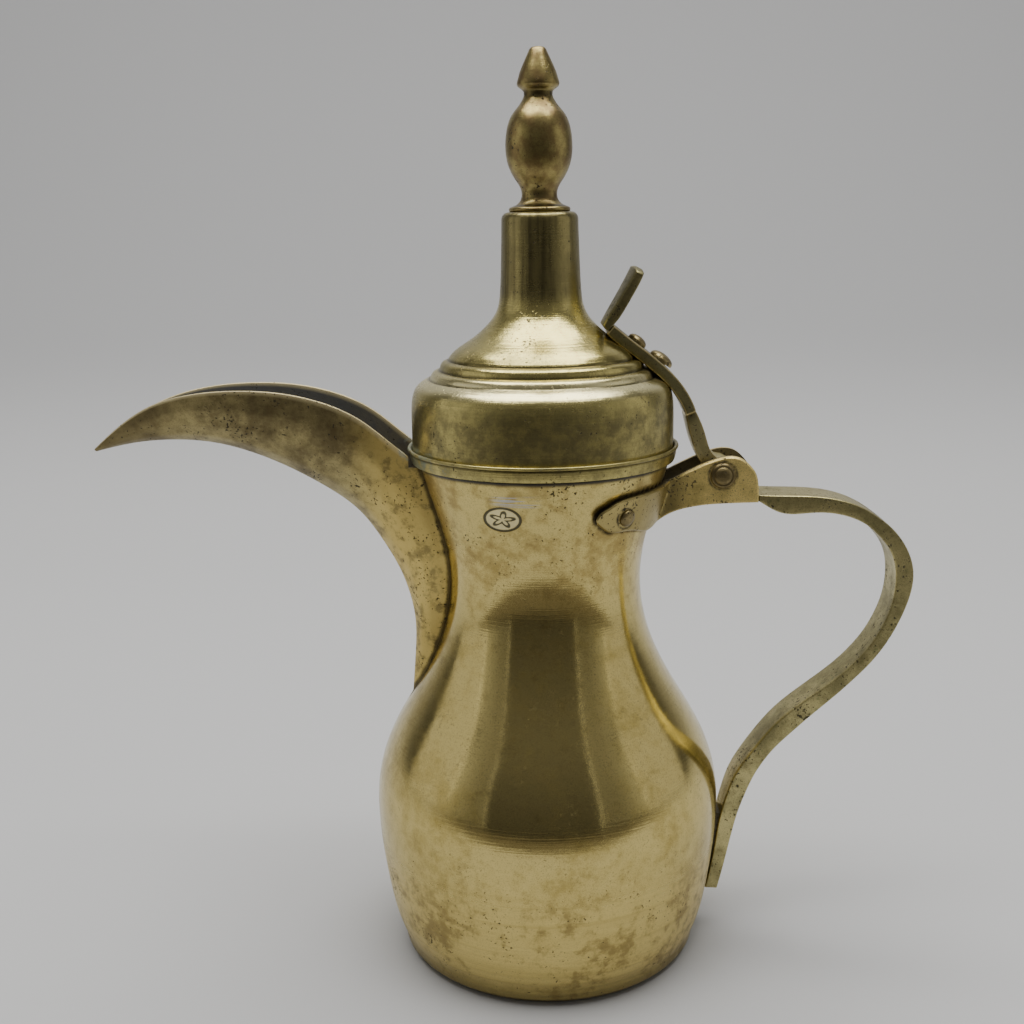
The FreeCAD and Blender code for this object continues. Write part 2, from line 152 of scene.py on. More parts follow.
def brass(name, bright, olive, rough, patina, specks, line_depth, across, own_finish):
    """Aged brass: bright metal under olive patina, dark specks and fine working lines.

    across turns the working lines across the piece. own_finish changes the facts of one piece's metal."""
    t = Tree(name)
    place = t.place()
    x, y, z = t.xyz(place)
    cloud = t.noise(place, 42.0, 5.0, 0.6)
    small = t.noise(place, 260.0, 4.0, 0.65)
    tarnish = (cloud * 0.65 + small * 0.35 + (patina - 0.5) * 0.5).step(0.36, 0.66)
    line_scale = (2200.0, 60.0, 2200.0) if across else (12.0, 12.0, 2600.0)
    lines = t.noise(t.stretch(place, line_scale), 1.0, 2.0, 0.5)
    dust = t.noise(place, 1150.0, 2.0, 0.5)
    where = t.noise(place, 95.0, 2.0, 0.5)
    spots = (dust + where * 0.45).step(0.97 - 0.12 * specks, 1.03 - 0.12 * specks)
    grain = t.noise(place, 2600.0, 2.0, 0.6).step(0.5, 0.66)
    blotch = (t.noise(place, 120.0, 4.0, 0.7) * 0.6 + small * 0.4).step(0.54, 0.66)
    colour = t.mix(tarnish, bright, olive)
    colour = t.mix((lines - 0.35).maths("MAXIMUM", 0.0) * (0.9 * line_depth), colour, DARK)
    colour = t.mix(blotch * (0.35 * patina + 0.1), colour, (0.16, 0.115, 0.045, 1))
    colour = t.mix(grain * (0.18 + 0.22 * specks), colour, (0.12, 0.095, 0.045, 1))
    facts = {"t": t, "x": x, "y": y, "z": z, "place": place, "colour": colour, "spots": spots,
             "roughness": tarnish * 0.14 + lines * 0.1 + rough - 0.05,
             "height": lines * line_depth + small * 0.5 + cloud * 1.2,
             "small": small, "cloud": cloud, "lines": lines, "metallic": 1.0 - tarnish * 0.12, "pit": 0.5}
    if own_finish:
        own_finish(facts)
    spots = facts["spots"]
    return t.finish(t.mix(spots * 0.85, facts["colour"], DARK), facts["roughness"] + spots * 0.3,
                    facts["metallic"] - spots * 0.5,
                    Normal=t.bump(facts["height"] - spots * facts["pit"], 0.32, 0.0006))


GOLD = (0.65, 0.53, 0.20, 1)
OLIVE = (0.33, 0.25, 0.07, 1)
BROWN = (0.135, 0.105, 0.048, 1)
DARK = (0.03, 0.024, 0.012, 1)
VERDIGRIS = (0.22, 0.27, 0.20, 1)
SLATE = (0.11, 0.115, 0.12, 1)


def coat(f, amount, colour):
    """Lays a colour over the metal of one piece by the given amount."""
    f["colour"] = f["t"].mix(amount, f["colour"], colour)


def body_finish(f):
    """Polished bulb, brushed foot, grime and painted shade at the joins, a painted shadow under the lid, a
    small oval maker's device and pale scratches.
    """
    t, y, z = f["t"], f["y"], f["z"]
    f["height"] = f["lines"] * 0.1 + f["small"] * 0.12 + f["cloud"] * 0.6
    f["pit"] = 0.1
    low = (z + (f["cloud"] - 0.5) * 0.02).step(0.046, 0.028)
    neck = z.step(0.118, 0.135)
    f["spots"] *= (neck.maths("MAXIMUM", low) * 0.7 + 0.3)
    patch = (f["cloud"] * 0.55 + f["small"] * 0.45).step(0.47, 0.60) * z.step(0.100, 0.135)
    coat(f, patch * 0.42, (0.30, 0.20, 0.075, 1))
    f["roughness"] += low * 0.2 + neck * 0.16
    brushed = t.noise(t.stretch(f["place"], (9.0, 9.0, 420.0)), 1.0, 3.0, 0.6)
    coat(f, brushed.step(0.45, 0.7) * low * 0.45, OLIVE)
    coat(f, low * 0.35, (0.80, 0.63, 0.22, 1))
    stain = (f["cloud"] * 0.5 + f["small"] * 0.5).step(0.5, 0.62) * low
    coat(f, stain * 0.55, (0.20, 0.14, 0.05, 1))
    # darker towards the bottom of the foot: painted shade mixed with grime
    foot = (z + (f["small"] - 0.5) * 0.006).step(0.010, 0.001)
    coat(f, foot * 0.55, (0.16, 0.12, 0.045, 1))
    # painted shadow: a near-black band on the body's neck just under the lid's rim band
    shadow_under_lid = z.step(0.1502, 0.1514)
    coat(f, shadow_under_lid * 0.95, (0.012, 0.010, 0.007, 1))
    f["metallic"] -= shadow_under_lid * 0.8
    f["height"] += brushed * low * 1.2
    # dark at the spout's seam and round the bracket's arm: partly grime, partly painted shade where the parts
    # meet
    edge = (t.attribute("grime_and_shade") * (0.55 + f["small"] * 0.9)).step(0.25, 0.75)
    coat(f, edge * 0.92, (0.07, 0.055, 0.03, 1))
    f["roughness"] += edge * 0.3
    front = y.step(-0.01, -0.02)
    makers_device(f, front)
    scratches(f, front)


def makers_device(f, front):
    """A stamped oval with a plain five-petal rosette on the front of the neck."""
    t = f["t"]
    u = (f["x"] + 0.0112) / 0.00520
    v = (f["z"] - 0.1408) / 0.00360
    r = (u * u + v * v) ** 0.5
    petal = (t.maths("ARCTAN2", v, u) * 5.0 + 0.6).maths("SINE")
    ring = (r - 0.95).size().step(0.11, 0.05)
    flower = (r - (0.42 + petal * 0.2)).size().step(0.15, 0.06)
    mark = (ring + flower).maths("MINIMUM", 1.0) * front * r.step(1.3, 1.2)
    coat(f, r.step(1.0, 0.9) * front * 0.6, (0.86, 0.78, 0.45, 1))
    coat(f, mark * 0.92, (0.05, 0.045, 0.018, 1))
    f["height"] -= mark * 2.0
    f["metallic"] -= mark * 0.5


def scratches(f, front):
    """Pale scratches just above the maker's device."""
    t = f["t"]
    across = ((f["x"] + 0.0075) / 0.008).size().step(1.0, 0.3)
    near = across * ((f["z"] - 0.1462) / 0.0022).size().step(1.0, 0.2)
    hairs = t.noise(t.stretch(f["place"], (70.0, 70.0, 1900.0)), 1.0, 2.0, 0.5).step(0.42, 0.52)
    scuff = hairs * near * front
    coat(f, scuff * 0.9, (0.80, 0.79, 0.76, 1))
    f["metallic"] -= scuff * 0.8
    f["roughness"] += scuff * 0.3


def lid_finish(f):
    """Darker wall with spun lines, streaked neck, green traces along the rim band."""
    t, x, z = f["t"], f["x"], f["z"]
    wall = (z + (f["cloud"] - 0.5) * 0.008).step(0.1735, 0.1665)
    band = z.step(0.1580, 0.1563)
    mottled = f["small"].step(0.36, 0.62) * 0.4 + 0.25
    coat(f, wall * mottled * (1.0 - band * 0.45), (0.15, 0.13, 0.065, 1))
    # painted highlight: a bright band round the lid's shoulder
    shoulder_highlight = z.step(0.1725, 0.1748) * z.step(0.1790, 0.1768)
    coat(f, shoulder_highlight * 0.6, (0.95, 0.86, 0.50, 1))
    f["roughness"] += wall * 0.1
    neck = z.step(0.196, 0.201)
    streak = t.noise(t.stretch(f["place"], (420.0, 420.0, 9.0)), 1.0, 3.0, 0.6).step(0.42, 0.66)
    coat(f, neck * 0.65, (0.20, 0.17, 0.08, 1))
    coat(f, neck * streak * 0.7, (0.12, 0.10, 0.045, 1))
    f["roughness"] += neck * 0.06
    rim = z.step(0.1625, 0.1568) * z.step(0.1516, 0.1524)
    by_spout = x.step(-0.024, -0.037)
    green = (rim * (f["small"] * 1.1 + by_spout * 0.3) * (0.5 + f["cloud"])).step(0.72, 0.95)
    coat(f, green * 0.75, VERDIGRIS)
    f["metallic"] -= green * 0.6
    coat(f, t.attribute("groove") * 0.8, DARK)


def spout_finish(f):
    """Brown-olive outside, golden near the body, slate-dark inside and a bright worn edge."""
    t, x, z = f["t"], f["x"], f["z"]
    inside = t.attribute("inside")
    warm = x.step(-0.060, -0.042) * (1.0 - f["small"].step(0.48, 0.65) * 0.6)
    coat(f, warm * 0.75, (0.76, 0.58, 0.18, 1))
    coat(f, x.step(-0.095, -0.125) * 0.7, BROWN)
    coat(f, inside * 0.85, SLATE)
    f["roughness"] += inside * 0.18
    f["metallic"] -= inside * 0.3
    coat(f, t.attribute("lip") * 0.8, (0.86, 0.74, 0.42, 1))
    # dark along the spout's join with the body: grime and painted shade in the crease between the parts
    seam = (t.attribute("join") * (0.5 + f["small"])).step(0.3, 0.8)
    coat(f, seam * 0.85, (0.06, 0.045, 0.02, 1))
    crust = (x.step(-0.0455, -0.0405) * z.step(0.1505, 0.1545) * (f["small"] * 1.6)).step(0.7, 1.0)
    coat(f, crust * 0.6, (0.36, 0.40, 0.33, 1))
    f["metallic"] -= crust * 0.7


def finial_finish(f):
    """Brown mottling, dark in the turned grooves."""
    coat(f, f["small"].step(0.4, 0.62) * 0.55, (0.20, 0.13, 0.055, 1))
    coat(f, f["t"].attribute("groove") * 0.8, DARK)


def bracket_finish(f):
    """Bright ear and duller arm, with dirt and painted shade down the cut edges and round the foot of the
    plate.
    """
    arm = f["x"].step(0.044, 0.037)
    coat(f, arm * 0.8, (0.33, 0.27, 0.11, 1))
    f["roughness"] += (1.0 - arm) * 0.12
    f["metallic"] -= (1.0 - arm) * 0.45
    # dirt and painted shade on the edges, round the pin and rivet, and at the back
    dirt_and_shade = (f["t"].attribute("grime_and_shade") * (0.6 + f["small"] * 0.8)).step(0.35, 0.8)
    coat(f, dirt_and_shade * 0.9, (0.035, 0.028, 0.015, 1))
    f["metallic"] -= dirt_and_shade * 0.5
    f["roughness"] += dirt_and_shade * 0.3


def green_spots(f):
    """Small spots of green tarnish."""
    spots = (f["t"].noise(f["place"], 480.0, 3.0, 0.6) + f["cloud"] * 0.3).step(0.78, 0.88)
    coat(f, spots * 0.5, (0.16, 0.19, 0.08, 1))


def strap_finish(f):
    """Olive with green spots, and painted light on the tongue below the joint."""
    # painted light: the tongue below the joint made lighter
    lit_tongue = f["z"].step(0.168, 0.160) * f["x"].step(0.038, 0.042)
    coat(f, lit_tongue * 0.5, (0.66, 0.58, 0.28, 1))
    green_spots(f)


METALS = {
    # bright, olive, roughness, patina, specks, line depth, lines across, own finish
    "body_brass": (GOLD, (0.44, 0.335, 0.09, 1), 0.13, 0.36, 0.5, 0.12, False, body_finish),
    "spout_brass": ((0.41, 0.345, 0.155, 1), BROWN, 0.33, 0.55, 0.7, 0.15, True, spout_finish),
    "bracket_brass": ((0.90, 0.71, 0.25, 1), (0.42, 0.33, 0.10, 1), 0.3, 0.42, 0.95, 0.12, True,
                      bracket_finish),
    "handle_brass": ((0.59, 0.52, 0.24, 1), (0.23, 0.205, 0.09, 1), 0.32, 0.5, 0.9, 0.12, True, green_spots),
    "lid_brass": ((0.65, 0.555, 0.20, 1), (0.34, 0.295, 0.11, 1), 0.2, 0.45, 0.5, 0.3, False, lid_finish),
    "strap_brass": ((0.31, 0.28, 0.13, 1), (0.12, 0.108, 0.055, 1), 0.36, 0.5, 0.7, 0.12, True, strap_finish),
    "worn_brass": ((0.80, 0.67, 0.32, 1), (0.40, 0.32, 0.12, 1), 0.28, 0.45, 0.5, 0.1, True, None),
    "finial_brass": ((0.40, 0.325, 0.12, 1), BROWN, 0.29, 0.45, 0.6, 0.12, False, finial_finish),
    "fastener_brass": ((0.33, 0.265, 0.12, 1), BROWN, 0.34, 0.5, 0.8, 0.1, True, None),
    "solder": ((0.10, 0.09, 0.06, 1), (0.04, 0.035, 0.025, 1), 0.5, 0.5, 0.6, 0.05, True, None),
}
MATERIALS = {name: brass(name, *facts) for name, facts in METALS.items()}


# ---- geometry helpers

def smooth(points, per=8):
    """A smooth line through the points, as a natural cubic on chord length."""
    p = np.array(points, float)
    t = np.concatenate([[0], np.cumsum(np.linalg.norm(np.diff(p, axis=0), axis=1) ** 0.75)])
    n = len(p)
    a = np.zeros((n, n))
    b = np.zeros((n, p.shape[1]))
    a[0, 0] = a[-1, -1] = 1
    h = np.diff(t)
    for i in range(1, n - 1):
        a[i, i - 1], a[i, i], a[i, i + 1] = h[i - 1], 2 * (h[i - 1] + h[i]), h[i]
        b[i] = 6 * ((p[i + 1] - p[i]) / h[i] - (p[i] - p[i - 1]) / h[i - 1])
    m = np.linalg.solve(a, b)
    out = []
    for i in range(n - 1):
        for s in np.linspace(0, 1, per, endpoint=False):
            d = s * h[i]
            e = h[i] - d
            out.append((m[i] * e ** 3 + m[i + 1] * d ** 3) / (6 * h[i]) + (p[i] / h[i] - m[i] * h[i] / 6) * e
                       + (p[i + 1] / h[i] - m[i + 1] * h[i] / 6) * d)
    out.append(p[-1])
    return [tuple(q) for q in out]


def offset(points, distance):
    """The line moved to its left side by distance."""
    p = np.array(points, float)
    d = np.gradient(p, axis=0)
    d /= np.maximum(np.linalg.norm(d, axis=1, keepdims=True), 1e-9)
    return [tuple(q) for q in p + distance * np.stack([-d[:, 1], d[:, 0]], 1)]


def new_object(name, mesh):
    """A new object in the scene, at the origin."""
    piece = bpy.data.objects.new(name, mesh)
    scene.collection.objects.link(piece)
    return piece


def mesh_of(name, verts, faces):
    """A mesh from vertices in metres."""
    mesh = bpy.data.meshes.new(name)
    mesh.from_pydata([tuple(v) for v in verts], [], faces)
    mesh.update()
    return mesh


def set_float(mesh, name, values):
    """A number on each vertex, for the materials and trees to read."""
    layer = mesh.attributes.new(name, "FLOAT", "POINT")
    layer.data.foreach_set("value", np.asarray(values, np.float32))


def coords(mesh):
    """The vertices in mm, as an array."""
    co = np.zeros(len(mesh.vertices) * 3, np.float32)
    mesh.vertices.foreach_get("co", co)
    return co.reshape(-1, 3) * 1000


def tidy(mesh, angle=32.0):
    """Outward normals, merged doubles, smooth shading with crisp edges."""
    bm = bmesh.new()
    bm.from_mesh(mesh)
    bmesh.ops.remove_doubles(bm, verts=bm.verts, dist=WELD)
    bmesh.ops.dissolve_degenerate(bm, edges=bm.edges, dist=1e-7)
    bmesh.ops.recalc_face_normals(bm, faces=bm.faces)
    bm.to_mesh(mesh)
    bm.free()
    mesh.shade_smooth()
    mesh.set_sharp_from_angle(angle=math.radians(angle))


def convert(piece, tree=None, values=None):
    """Runs the tree and the other modifiers on the piece and keeps only the finished mesh."""
    if tree:
        modifier = piece.modifiers.new("build", "NODES")
        modifier.node_group = tree
        for item in tree.interface.items_tree:
            if item.in_out == "INPUT" and item.name in (values or {}):
                modifier[item.identifier] = values[item.name]
    graph = bpy.context.evaluated_depsgraph_get()
    graph.update()
    mesh = bpy.data.meshes.new_from_object(piece.evaluated_get(graph), depsgraph=graph)
    old = piece.data
    piece.modifiers.clear()
    piece.data = mesh
    mesh.name = piece.name
    if old.users == 0:
        bpy.data.meshes.remove(old)
    return piece


def geometry_tree(name, inputs):
    """A new tree with the given inputs.

    Gives the tree, its input sockets and a short way to add Math nodes."""
    tree = bpy.data.node_groups.new(name, "GeometryNodeTree")
    tree.interface.new_socket("Geometry", in_out="INPUT", socket_type="NodeSocketGeometry")
    for label, kind, default in inputs:
        socket = tree.interface.new_socket(label, in_out="INPUT", socket_type="NodeSocket" + kind)
        if default is not None:
            socket.default_value = default
    tree.interface.new_socket("Geometry", in_out="OUTPUT", socket_type="NodeSocketGeometry")

    def maths(kind, *values):
        return gn(tree, "ShaderNodeMath", {"operation": kind}, dict(enumerate(values))).outputs[0]

    return tree, tree.nodes.new("NodeGroupInput").outputs, maths


def gn(tree, kind, settings=None, links=None):
    """Adds a node; each entry of links is an input's name or number with a socket or a value."""
    node = tree.nodes.new(kind)
    for key, value in (settings or {}).items():
        setattr(node, key, value)
    for key, value in (links or {}).items():
        if isinstance(value, bpy.types.NodeSocket):
            tree.links.new(value, node.inputs[key])
        else:
            node.inputs[key].default_value = value
    return node


def gn_position(tree):
    """Where each point is."""
    return gn(tree, "GeometryNodeInputPosition").outputs[0]


def gn_xyz(tree, vector):
    """The three parts of a vector."""
    return gn(tree, "ShaderNodeSeparateXYZ", None, {0: vector}).outputs


def gn_vector(tree, x=0.0, y=0.0, z=0.0):
    """A vector from its three parts."""
    return gn(tree, "ShaderNodeCombineXYZ", None, {0: x, 1: y, 2: z}).outputs[0]


def gn_sample(tree, geometry, value, index, kind="FLOAT_VECTOR"):
    """The value at one point of the geometry."""
    return gn(tree, "GeometryNodeSampleIndex", {"data_type": kind, "domain": "POINT"},
              {0: geometry, 1: value, "Index": index}).outputs[0]


def gn_turned_grid(tree, maths, rows, steps, start):
    """A grid whose rows follow a line of points.

    Gives the grid, each point's row and its angle round the line."""
    grid = gn(tree, "GeometryNodeMeshGrid", None, {"Size X": 1.0, "Size Y": 1.0, "Vertices X": rows,
                                                   "Vertices Y": maths("ADD", steps, 1.0)})
    place = gn_xyz(tree, gn_position(tree))
    row = maths("ROUND", maths("MULTIPLY", maths("ADD", place[0], 0.5), maths("SUBTRACT", rows, 1.0)))
    return grid.outputs[0], row, maths("MULTIPLY_ADD", place[1], 2 * math.pi, start)


def gn_move(tree, geometry, position):
    """The geometry with its points moved to new places."""
    return gn(tree, "GeometryNodeSetPosition", None, {"Geometry": geometry, "Position": position}).outputs[0]


def gn_merge(tree, geometry):
    """The geometry with points at the same place made one, which closes seams and poles."""
    return gn(tree, "GeometryNodeMergeByDistance", None, {"Geometry": geometry, "Distance": WELD}).outputs[0]


def gn_end(tree, geometry, material):
    """Ends the tree: real meshes with the material on them."""
    real = gn(tree, "GeometryNodeRealizeInstances", None, {0: geometry})
    coated = gn(tree, "GeometryNodeSetMaterial", None, {"Geometry": real.outputs[0], "Material": material})
    gn(tree, "NodeGroupOutput", None, {0: coated.outputs[0]})
    return tree


def lathe_tree():
    """Turns the profile, given as the vertices (r, 0, z) of the input mesh, about the Z axis."""
    tree, given, maths = geometry_tree("lathe", [("Rows", "Int", 10), ("Steps", "Int", 96),
                                                 ("Material", "Material", None)])
    grid, row, turn = gn_turned_grid(tree, maths, given["Rows"], given["Steps"], math.pi)
    profile = gn_xyz(tree, gn_sample(tree, given[0], gn_position(tree), row))
    at = gn_vector(tree, x=maths("MULTIPLY", profile[0], maths("COSINE", turn)),
                   y=maths("MULTIPLY", profile[0], maths("SINE", turn)), z=profile[2])
    return gn_end(tree, gn_merge(tree, gn_move(tree, grid, at)), given["Material"])


def swept_tree():
    """A bar between two rails. The input mesh holds the outer rail's points and then the inner rail's.

    The half_width attribute gives the bar's half width at each point."""
    tree, given, maths = geometry_tree("bar_between_rails", [
        ("Stations", "Int", 10), ("Around", "Int", 32), ("Squareness", "Float", 0.2),
        ("Material", "Material", None)])
    grid, row, turn = gn_turned_grid(tree, maths, given["Stations"], given["Around"], math.pi / 4)
    width = gn(tree, "GeometryNodeInputNamedAttribute", {"data_type": "FLOAT"},
               {"Name": "half_width"}).outputs[0]
    outer = gn_sample(tree, given[0], gn_position(tree), row)
    inner = gn_sample(tree, given[0], gn_position(tree), maths("ADD", row, given["Stations"]))
    half = gn_sample(tree, given[0], width, row, "FLOAT")

    def squared(value):
        size = maths("POWER", maths("ABSOLUTE", value), given["Squareness"])
        return maths("MULTIPLY", maths("SIGN", value), size)

    side = squared(maths("COSINE", turn))
    through = maths("MULTIPLY_ADD", squared(maths("SINE", turn)), 0.5, 0.5)
    blend = gn(tree, "ShaderNodeMix", {"data_type": "VECTOR"}, {0: through, 4: inner, 5: outer}).outputs[1]
    shift = gn_vector(tree, y=maths("MULTIPLY", side, half))
    at = gn(tree, "ShaderNodeVectorMath", {"operation": "ADD"}, {0: blend, 1: shift}).outputs[0]
    return gn_end(tree, gn_merge(tree, gn_move(tree, grid, at)), given["Material"])


def drill_tree():
    """Short round drills set in staggered rows behind the spout."""
    tree, given, maths = geometry_tree("strainer_drills", [
        ("Rows", "Int", 6), ("Pitch", "Float", 0.0065), ("Turn", "Float", 0.148), ("Radius", "Float", 0.0015),
        ("Material", "Material", None)])
    points = gn(tree, "GeometryNodePoints", None, {"Count": maths("MULTIPLY", given["Rows"], 3.0)}).outputs[0]
    index = gn(tree, "GeometryNodeInputIndex").outputs[0]
    row = maths("FLOOR", maths("DIVIDE", index, 3.0))
    column = maths("SUBTRACT", maths("MODULO", index, 3.0), 1.0)
    turn = maths("MULTIPLY_ADD", column, given["Turn"], math.pi)
    at = gn_vector(tree, x=maths("MULTIPLY", maths("COSINE", turn), DRILL_RING),
                   y=maths("MULTIPLY", maths("SINE", turn), DRILL_RING),
                   z=maths("MULTIPLY_ADD", row, given["Pitch"], LOWEST_DRILL))
    odd = maths("MODULO", maths("ADD", row, maths("ABSOLUTE", column)), 2.0)
    kept = gn(tree, "GeometryNodeDeleteGeometry", {"domain": "POINT"},
              {"Geometry": gn_move(tree, points, at), "Selection": odd}).outputs[0]
    drill = gn(tree, "GeometryNodeMeshCylinder", None,
               {"Vertices": 20, "Radius": given["Radius"], "Depth": 0.016}).outputs[0]
    copies = gn(tree, "GeometryNodeInstanceOnPoints", None,
                {"Points": kept, "Instance": drill, "Rotation": gn_vector(tree, y=math.pi / 2, z=turn)})
    return gn_end(tree, copies.outputs[0], given["Material"])


LATHE = lathe_tree()
SWEPT = swept_tree()


def lathe(name, profile, material, steps=96, angle=32.0):
    """A turned piece; profile is a closed line of (r, z) in mm, or an open one that ends on the axis."""
    rows = [(r * MM, 0.0, z * MM) for r, z in profile]
    piece = new_object(name, mesh_of(name, rows, []))
    convert(piece, LATHE, {"Rows": len(rows), "Steps": steps, "Material": MATERIALS[material]})
    tidy(piece.data, angle)
    return piece


def swept(name, rail_out, rail_in, half, material, squareness):
    """A bar between two rails of (x, z) in mm, with its half width at each station."""
    rails = [(x * MM, 0.0, z * MM) for x, z in rail_out + rail_in]
    mesh = mesh_of(name, rails, [])
    set_float(mesh, "half_width", [h * MM for h in half] * 2)
    piece = new_object(name, mesh)
    convert(piece, SWEPT, {"Stations": len(rail_out), "Around": 48, "Squareness": squareness,
                           "Material": MATERIALS[material]})
    tidy(piece.data, 42)
    return piece


def carve(piece, tool):
    """Cuts the tool's shape out of the piece."""
    cut = piece.modifiers.new("cut", "BOOLEAN")
    cut.operation = "DIFFERENCE"
    cut.solver = "EXACT"
    cut.object = tool
    convert(piece)
    bpy.data.objects.remove(tool)
    tidy(piece.data)
    return piece


def plate(name, outline, half, bevel, material):
    """A flat outline in XZ (mm) made into a plate along Y with softened edges."""
    n = len(outline)
    verts = [(x * MM, y * MM, z * MM) for y in (-half, half) for x, z in outline]
    faces = [list(range(n)), list(range(2 * n - 1, n - 1, -1))]
    faces += [[i, (i + 1) % n, n + (i + 1) % n, n + i] for i in range(n)]
    piece = new_object(name, mesh_of(name, verts, faces))
    piece.data.materials.append(MATERIALS[material])
    piece.data.materials.append(MATERIALS["worn_brass"])
    bm = bmesh.new()
    bm.from_mesh(piece.data)
    bmesh.ops.recalc_face_normals(bm, faces=bm.faces)
    edges = [e for e in bm.edges if e.calc_face_angle(0) > math.radians(35)]
    bmesh.ops.bevel(bm, geom=edges, offset=bevel * MM, segments=2, profile=0.5, affect="EDGES",
                    clamp_overlap=True, material=1)
    bm.to_mesh(piece.data)
    bm.free()
    tidy(piece.data, 40)
    return piece


def put(piece, body, node):
    """Says which body the piece moves with, which node it stands for."""
    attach(piece, body)
    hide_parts(node)


# ---- measured lines (mm)

BODY = [(45.75, 5.0), (47.7, 10.0), (49.6, 18.0), (51.0, 27.0), (52.05, 36.0), (52.5, 45.0), (52.0, 53.0),
        (50.15, 61.0), (46.8, 69.0), (42.3, 77.0), (37.65, 85.0), (33.3, 94.0), (30.35, 103.0), (28.9, 112.0),
        (29.0, 121.0), (30.8, 131.0), (34.15, 142.0), (36.95, 151.4)]
SPOUT = [((-132.8, 156.35), (-132.5, 155.7), 0.9), ((-124.7, 162.9), (-121.1, 158.1), 4.0),
         ((-113.4, 169.7), (-108.0, 158.9), 7.0), ((-100.7, 173.2), (-95.2, 157.5), 9.3),
         ((-88.2, 174.2), (-82.6, 153.5), 10.6), ((-75.8, 173.6), (-73.0, 149.0), 11.4),
         ((-63.6, 171.0), (-63.7, 143.6), 12.0), ((-52.4, 166.0), (-55.0, 136.8), 12.4),
         ((-43.0, 158.6), (-48.3, 127.6), 12.6), ((-34.5, 150.5), (-42.7, 116.8), 12.0),
         ((-29.5, 138.5), (-39.5, 104.0), 10.5), ((-27.0, 124.0), (-39.7, 92.0), 8.0),
         ((-27.0, 107.0), (-40.9, 79.0), 5.5), ((-29.5, 88.0), (-41.3, 76.0), 3.5)]
HANDLE_OUTER = [(62.9, 141.3), (69.7, 141.1), (76.3, 140.9), (81.2, 140.5), (86.2, 139.6), (91.0, 138.0),
                (95.1, 135.9), (98.4, 133.6), (101.6, 131.0), (104.9, 127.2), (107.6, 122.3), (108.9, 117.0),
                (108.6, 111.8), (107.0, 105.9), (104.6, 100.1), (101.5, 94.4), (97.6, 89.0), (93.4, 84.4),
                (88.8, 79.8), (83.9, 75.3), (79.0, 70.8), (74.2, 66.2), (70.0, 61.9), (66.6, 57.4),
                (63.7, 52.4), (61.2, 46.4), (59.2, 40.6), (57.7, 34.6), (56.4, 28.6), (55.1, 22.4),
                (53.2, 14.4)]
HANDLE_INNER = [(62.9, 139.3), (66.0, 137.3), (69.2, 135.8), (73.0, 135.3), (77.6, 135.6), (82.6, 135.6),
                (87.4, 134.8), (91.4, 133.4), (94.9, 131.4), (97.8, 128.7), (100.6, 125.4), (102.5, 121.8),
                (103.5, 117.6), (103.6, 112.6), (102.7, 106.8), (100.6, 101.0), (97.7, 95.6), (94.2, 91.0),
                (90.2, 86.8), (85.8, 83.0), (81.0, 79.3), (76.2, 75.6), (71.9, 71.9), (67.9, 67.6),
                (64.2, 62.8), (60.5, 57.4), (57.2, 51.4), (54.9, 44.3), (53.7, 39.6), (52.8, 34.6),
                (52.1, 29.3), (51.3, 24.1), (50.4, 19.2), (49.4, 14.6)]
PIN = (51.9, 147.5)
ARM_RIVET = (22.6, 139.6)
NECK_RIVET_ANGLE = 50.0


def body_radius(z):
    """The body's outer radius at height z, both in mm."""
    line = np.array([(41.0, 0.0), (43.6, 1.6)] + BODY + [(37.0, 151.7)])
    return np.interp(z, line[:, 1], line[:, 0])


# ---- body

def body_profile():
    """Turned-in foot, outer wall, rim and inner wall."""
    corner = [(41.0 + 5.3 * math.sin(a), 5.6 - 5.6 * math.cos(a)) for a in np.linspace(0, 1.15, 8)][:-1]
    outer = corner + smooth(BODY, 7)
    inner = offset(smooth(BODY, 5), 1.2)
    rim = [(36.98, 151.62), (36.8, 151.7), (36.1, 151.7), (35.9, 151.6)]
    inner = [p for p in inner if 5.5 < p[1] < 151.3]
    base = [(44.6, 5.2), (43.6, 2.6), (41.0, 1.2), (38.0, 1.2), (38.0, 0.0)]
    return [(38.0, 0.0), (39.5, 0.0)] + outer + rim + inner[::-1] + base


body = lathe("body", body_profile(), "body_brass", 224, 40)
drills = new_object("strainer_drills", mesh_of("strainer_drills", [(0, 0, 0)], []))
convert(drills, drill_tree(), {"Material": MATERIALS["body_brass"]})
carve(body, drills)


# ---- spout

def spout_rows():
    """Smoothed stations: top edge, keel and half width."""
    return np.array(smooth([top + keel + (w,) for top, keel, w in SPOUT], 6))


def trough_point(row, share, half, low=0.0):
    """A point on one wall: share 0 at the keel and 1 at the top edge."""
    top, keel = row[0:2], row[2:4]
    length = np.linalg.norm(top - keel)
    unit = (top - keel) / length
    width = np.interp(share, [0, 0.06, 0.18, 0.42, 0.7, 1.0], [0, 0.17, 0.43, 0.73, 0.915, 1.0])
    at = keel + unit * (low + share * (length - low))
    return at[0], width * half, at[1]


